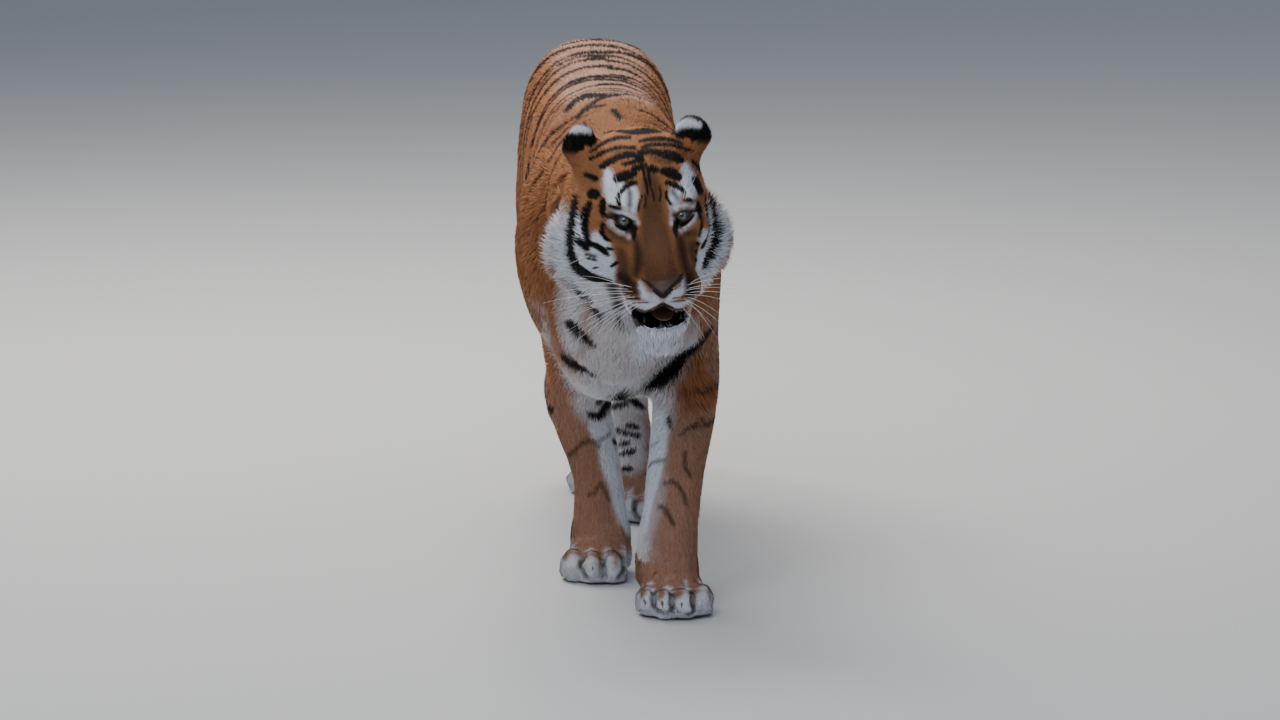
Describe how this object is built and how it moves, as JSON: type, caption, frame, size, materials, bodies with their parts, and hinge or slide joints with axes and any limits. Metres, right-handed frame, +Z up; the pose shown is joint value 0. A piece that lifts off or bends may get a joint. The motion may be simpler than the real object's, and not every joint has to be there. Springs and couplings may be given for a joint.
{
  "type": "tiger",
  "caption": "Life-size still model of an adult tiger in a slow walk, head low and turned a little to its left, mouth slightly open, tail hanging with its tip curled up.",
  "frame": {"origin": "middle of the bounding box at floor level, where the soles stand", "axes": "-Y the way the tiger faces, +X towards its left side, +Z up"},
  "size_m": [0.405, 2.1874, 0.9471],
  "materials": {
    "orange_coat": "short orange fur with black stripes, pale below",
    "pale_coat": "long pale fur",
    "black_coat": "short black fur with a white spot",
    "nose_leather": "satin",
    "tongue_flesh": "moist, satin",
    "tooth_ivory": "satin",
    "claw_horn": "satin",
    "eye_gloss": "glossy"
  },
  "bodies": {
    "root": {"head": "orange_coat", "neck": "orange_coat", "trunk": "orange_coat", "rump": "orange_coat", "tail_1": "orange_coat", "tail_2": "orange_coat", "tail_3": "orange_coat", "tail_4": "orange_coat", "upper_arm_fore_left": "orange_coat", "forearm_fore_left": "orange_coat", "paw_fore_left": "pale_coat", "claw_fore_left_1": "claw_horn", "claw_fore_left_2": "claw_horn", "claw_fore_left_3": "claw_horn", "claw_fore_left_4": "claw_horn", "upper_arm_fore_right": "orange_coat", "forearm_fore_right": "orange_coat", "paw_fore_right": "pale_coat", "claw_fore_right_1": "claw_horn", "claw_fore_right_2": "claw_horn", "claw_fore_right_3": "claw_horn", "claw_fore_right_4": "claw_horn", "thigh_hind_left": "orange_coat", "shank_hind_left": "orange_coat", "paw_hind_left": "pale_coat", "claw_hind_left_1": "claw_horn", "claw_hind_left_2": "claw_horn", "claw_hind_left_3": "claw_horn", "claw_hind_left_4": "claw_horn", "thigh_hind_right": "orange_coat", "shank_hind_right": "orange_coat", "paw_hind_right": "pale_coat", "claw_hind_right_1": "claw_horn", "claw_hind_right_2": "claw_horn", "claw_hind_right_3": "claw_horn", "claw_hind_right_4": "claw_horn", "lower_jaw": "pale_coat", "ear_left": "black_coat", "eye_left": "eye_gloss", "canine_lower_left": "tooth_ivory", "ear_right": "black_coat", "eye_right": "eye_gloss", "canine_lower_right": "tooth_ivory", "nose_pad": "nose_leather", "tongue": "tongue_flesh"}
  },
  "joints": []
}
